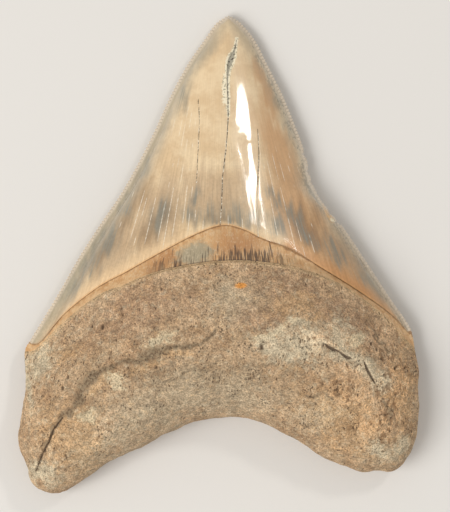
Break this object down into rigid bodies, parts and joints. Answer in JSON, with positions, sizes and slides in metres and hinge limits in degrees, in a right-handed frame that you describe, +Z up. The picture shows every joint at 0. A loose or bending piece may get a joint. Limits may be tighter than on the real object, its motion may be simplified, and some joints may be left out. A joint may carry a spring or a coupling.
{
  "type": "fossil shark tooth",
  "caption": "Broad triangular fossil shark tooth with fine serrated cutting edges and a thick two-lobed root, lying on its flat outer face.",
  "frame": {"origin": "on the surface that the tooth lies on, under the middle of its length and width", "axes": "+Y from the root towards the tip, +X to the right seen from above, +Z up, out of the bulging inner face"},
  "size_m": [0.0728, 0.0872, 0.0177],
  "materials": {
    "fossil_tooth": "mineralised tooth: glossy tan and blue-grey enamel on the crown, satin orange-brown neck band, matt pitted grey-brown root"
  },
  "bodies": {
    "root": {"tooth": "fossil_tooth"}
  },
  "joints": []
}
